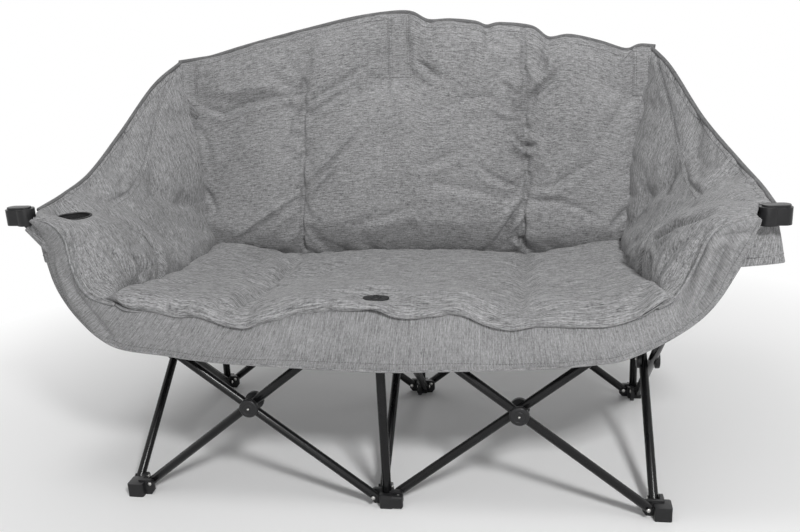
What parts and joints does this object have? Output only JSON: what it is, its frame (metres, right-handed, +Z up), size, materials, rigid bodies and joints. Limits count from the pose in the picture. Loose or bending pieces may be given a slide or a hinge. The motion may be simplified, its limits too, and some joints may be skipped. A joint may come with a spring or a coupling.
{
  "type": "folding camping loveseat",
  "caption": "Two-person folding camp chair: padded bucket seat with high back, wings, arms and a cup holder, on a folding frame of crossed tubes and plastic hubs.",
  "frame": {"origin": "on the ground, in the middle of the outline", "axes": "+X to the right seen from the front, +Y to the rear, +Z up; the front faces -Y"},
  "size_m": [1.43, 0.6051, 0.9352],
  "materials": {
    "frame tube": "black powder coat, half gloss",
    "hub plastic": "black moulded plastic, fine texture",
    "cloth": "heather grey woven polyester, padded",
    "lining": "black mesh lining"
  },
  "bodies": {
    "rear_centre": {"rear_centre_foot": "hub plastic", "rear_centre_pole": "frame tube", "back_pad": "cloth"},
    "centre_bar_rear": {"centre_tube_from_rear": "frame tube", "centre_cap_inner": "hub plastic"},
    "centre_bar_front": {"centre_tube_from_front": "frame tube", "centre_cap_outer": "hub plastic"},
    "front_centre": {"front_centre_foot": "hub plastic", "front_centre_post": "frame tube"},
    "front_centre_hub": {"front_centre_hub": "hub plastic"},
    "rear_centre_hub": {"rear_centre_hub": "hub plastic"},
    "seat": {"seat_pad": "cloth", "front_band": "cloth", "seat_plate": "hub plastic"},
    "left_arm": {"left_arm_tube": "frame tube", "left_arm_end": "hub plastic", "front_left_cap_outer": "hub plastic"},
    "front_left_bar": {"front_left_tube_from_left": "frame tube", "front_left_cap_inner": "hub plastic"},
    "front_left": {"front_left_foot": "hub plastic"},
    "front_left_hub": {"front_left_hub": "hub plastic"},
    "rear_left_bar_centre": {"rear_left_tube_from_centre": "frame tube", "rear_left_cap_outer": "hub plastic"},
    "rear_left_bar_left": {"rear_left_tube_from_left": "frame tube", "rear_left_cap_inner": "hub plastic"},
    "rear_left": {"rear_left_foot": "hub plastic", "rear_left_pole": "frame tube", "left_wing": "cloth", "left_arm_pad": "cloth", "left_flap": "cloth", "left_cup_liner": "lining"},
    "rear_left_hub": {"rear_left_hub": "hub plastic"},
    "left_side_bar_rear": {"left_side_tube_from_rear": "frame tube", "left_side_cap_inner": "hub plastic"},
    "left_side_bar_front": {"left_side_tube_from_front": "frame tube", "left_side_cap_outer": "hub plastic"},
    "right_arm": {"right_arm_tube": "frame tube", "right_arm_end": "hub plastic", "front_right_cap_inner": "hub plastic"},
    "front_right_bar": {"front_right_tube_from_right": "frame tube", "front_right_cap_outer": "hub plastic"},
    "front_right": {"front_right_foot": "hub plastic"},
    "front_right_hub": {"front_right_hub": "hub plastic"},
    "rear_right_bar_centre": {"rear_right_tube_from_centre": "frame tube", "rear_right_cap_inner": "hub plastic"},
    "rear_right_bar_right": {"rear_right_tube_from_right": "frame tube", "rear_right_cap_outer": "hub plastic"},
    "rear_right": {"rear_right_foot": "hub plastic", "rear_right_pole": "frame tube", "right_wing": "cloth", "right_arm_pad": "cloth", "right_flap": "cloth"},
    "rear_right_hub": {"rear_right_hub": "hub plastic"},
    "right_side_bar_rear": {"right_side_tube_from_rear": "frame tube", "right_side_cap_inner": "hub plastic"},
    "right_side_bar_front": {"right_side_tube_from_front": "frame tube", "right_side_cap_outer": "hub plastic"}
  },
  "joints": [
    {"name": "fold", "type": "hinge", "parent": "rear_centre", "child": "centre_bar_rear", "pos_m": [0.01, 0.2565, 0.024], "axis": [-1, 0, 0], "range_deg": [0, 45], "deforming": ["seat_pad", "back_pad", "front_band", "left_wing", "right_wing", "left_arm_pad", "right_arm_pad", "left_flap", "right_flap", "left_cup_liner"]},
    {"name": "centre_crossing", "type": "hinge", "parent": "centre_bar_rear", "child": "centre_bar_front", "pos_m": [0, 0.018, 0.21034], "axis": [1, 0, 0], "range_deg": [0, 90.01]},
    {"name": "front_centre_foot_pivot", "type": "hinge", "parent": "centre_bar_front", "child": "front_centre", "pos_m": [-0.01, -0.2205, 0.024], "axis": [-1, 0, 0], "range_deg": [0, 45.01]},
    {"name": "front_centre_hub_pivot", "type": "hinge", "parent": "centre_bar_rear", "child": "front_centre_hub", "pos_m": [0.01, -0.2205, 0.39667], "axis": [1, 0, 0], "range_deg": [0, 45.01]},
    {"name": "rear_centre_hub_pivot", "type": "hinge", "parent": "centre_bar_front", "child": "rear_centre_hub", "pos_m": [-0.01, 0.2565, 0.39667], "axis": [-1, 0, 0], "range_deg": [0, 45.01]},
    {"name": "seat_lift", "type": "hinge", "parent": "rear_centre", "child": "seat", "pos_m": [0, 0.2085, 0.388], "axis": [-1, 0, 0], "range_deg": [0, 80.01]},
    {"name": "left_arm_pivot", "type": "hinge", "parent": "front_centre", "child": "left_arm", "pos_m": [-0.024, -0.2545, 0.024], "axis": [0, 1, 0], "range_deg": [0, 45.01]},
    {"name": "front_left_crossing", "type": "hinge", "parent": "left_arm", "child": "front_left_bar", "pos_m": [-0.2625, -0.2445, 0.21034], "axis": [0, -1, 0], "range_deg": [0, 90.01]},
    {"name": "front_left_foot_pivot", "type": "hinge", "parent": "front_left_bar", "child": "front_left", "pos_m": [-0.501, -0.2345, 0.024], "axis": [0, 1, 0], "range_deg": [0, 45.01]},
    {"name": "front_left_hub_pivot", "type": "hinge", "parent": "left_arm", "child": "front_left_hub", "pos_m": [-0.501, -0.2545, 0.39667], "axis": [0, -1, 0], "range_deg": [0, 45.01]},
    {"name": "rear_left_bar_pivot", "type": "hinge", "parent": "rear_centre", "child": "rear_left_bar_centre", "pos_m": [-0.024, 0.2705, 0.024], "axis": [0, 1, 0], "range_deg": [0, 45.01]},
    {"name": "rear_left_crossing", "type": "hinge", "parent": "rear_left_bar_centre", "child": "rear_left_bar_left", "pos_m": [-0.2625, 0.2805, 0.21034], "axis": [0, -1, 0], "range_deg": [0, 90.01]},
    {"name": "rear_left_foot_pivot", "type": "hinge", "parent": "rear_left_bar_left", "child": "rear_left", "pos_m": [-0.501, 0.2905, 0.024], "axis": [0, 1, 0], "range_deg": [0, 45.01]},
    {"name": "rear_left_hub_pivot", "type": "hinge", "parent": "rear_left_bar_centre", "child": "rear_left_hub", "pos_m": [-0.501, 0.2705, 0.39667], "axis": [0, -1, 0], "range_deg": [0, 45.01]},
    {"name": "left_side_bar_pivot", "type": "hinge", "parent": "rear_left", "child": "left_side_bar_rear", "pos_m": [-0.515, 0.2565, 0.024], "axis": [-1, 0, 0], "range_deg": [0, 45.01]},
    {"name": "left_side_crossing", "type": "hinge", "parent": "left_side_bar_rear", "child": "left_side_bar_front", "pos_m": [-0.525, 0.018, 0.21034], "axis": [1, 0, 0], "range_deg": [0, 90.01]},
    {"name": "right_arm_pivot", "type": "hinge", "parent": "front_centre", "child": "right_arm", "pos_m": [0.024, -0.2345, 0.024], "axis": [0, -1, 0], "range_deg": [0, 45.01]},
    {"name": "front_right_crossing", "type": "hinge", "parent": "right_arm", "child": "front_right_bar", "pos_m": [0.2625, -0.2445, 0.21034], "axis": [0, 1, 0], "range_deg": [0, 90.01]},
    {"name": "front_right_foot_pivot", "type": "hinge", "parent": "front_right_bar", "child": "front_right", "pos_m": [0.501, -0.2545, 0.024], "axis": [0, -1, 0], "range_deg": [0, 45.01]},
    {"name": "front_right_hub_pivot", "type": "hinge", "parent": "right_arm", "child": "front_right_hub", "pos_m": [0.501, -0.2345, 0.39667], "axis": [0, 1, 0], "range_deg": [0, 45.01]},
    {"name": "rear_right_bar_pivot", "type": "hinge", "parent": "rear_centre", "child": "rear_right_bar_centre", "pos_m": [0.024, 0.2905, 0.024], "axis": [0, -1, 0], "range_deg": [0, 45.01]},
    {"name": "rear_right_crossing", "type": "hinge", "parent": "rear_right_bar_centre", "child": "rear_right_bar_right", "pos_m": [0.2625, 0.2805, 0.21034], "axis": [0, 1, 0], "range_deg": [0, 90.01]},
    {"name": "rear_right_foot_pivot", "type": "hinge", "parent": "rear_right_bar_right", "child": "rear_right", "pos_m": [0.501, 0.2705, 0.024], "axis": [0, -1, 0], "range_deg": [0, 45.01]},
    {"name": "rear_right_hub_pivot", "type": "hinge", "parent": "rear_right_bar_centre", "child": "rear_right_hub", "pos_m": [0.501, 0.2905, 0.39667], "axis": [0, 1, 0], "range_deg": [0, 45.01]},
    {"name": "right_side_bar_pivot", "type": "hinge", "parent": "rear_right", "child": "right_side_bar_rear", "pos_m": [0.535, 0.2565, 0.024], "axis": [-1, 0, 0], "range_deg": [0, 45.01]},
    {"name": "right_side_crossing", "type": "hinge", "parent": "right_side_bar_rear", "child": "right_side_bar_front", "pos_m": [0.525, 0.018, 0.21034], "axis": [1, 0, 0], "range_deg": [0, 90.01]}
  ],
  "couplings": [
    {"joint": "centre_crossing", "follows": "fold", "ratio": 2},
    {"joint": "front_centre_foot_pivot", "follows": "fold", "ratio": 1},
    {"joint": "front_centre_hub_pivot", "follows": "fold", "ratio": 1},
    {"joint": "rear_centre_hub_pivot", "follows": "fold", "ratio": 1},
    {"joint": "seat_lift", "follows": "fold", "ratio": 1.7778},
    {"joint": "left_arm_pivot", "follows": "fold", "ratio": 1},
    {"joint": "front_left_crossing", "follows": "fold", "ratio": 2},
    {"joint": "front_left_foot_pivot", "follows": "fold", "ratio": 1},
    {"joint": "front_left_hub_pivot", "follows": "fold", "ratio": 1},
    {"joint": "rear_left_bar_pivot", "follows": "fold", "ratio": 1},
    {"joint": "rear_left_crossing", "follows": "fold", "ratio": 2},
    {"joint": "rear_left_foot_pivot", "follows": "fold", "ratio": 1},
    {"joint": "rear_left_hub_pivot", "follows": "fold", "ratio": 1},
    {"joint": "left_side_bar_pivot", "follows": "fold", "ratio": 1},
    {"joint": "left_side_crossing", "follows": "fold", "ratio": 2},
    {"joint": "right_arm_pivot", "follows": "fold", "ratio": 1},
    {"joint": "front_right_crossing", "follows": "fold", "ratio": 2},
    {"joint": "front_right_foot_pivot", "follows": "fold", "ratio": 1},
    {"joint": "front_right_hub_pivot", "follows": "fold", "ratio": 1},
    {"joint": "rear_right_bar_pivot", "follows": "fold", "ratio": 1},
    {"joint": "rear_right_crossing", "follows": "fold", "ratio": 2},
    {"joint": "rear_right_foot_pivot", "follows": "fold", "ratio": 1},
    {"joint": "rear_right_hub_pivot", "follows": "fold", "ratio": 1},
    {"joint": "right_side_bar_pivot", "follows": "fold", "ratio": 1},
    {"joint": "right_side_crossing", "follows": "fold", "ratio": 2}
  ]
}
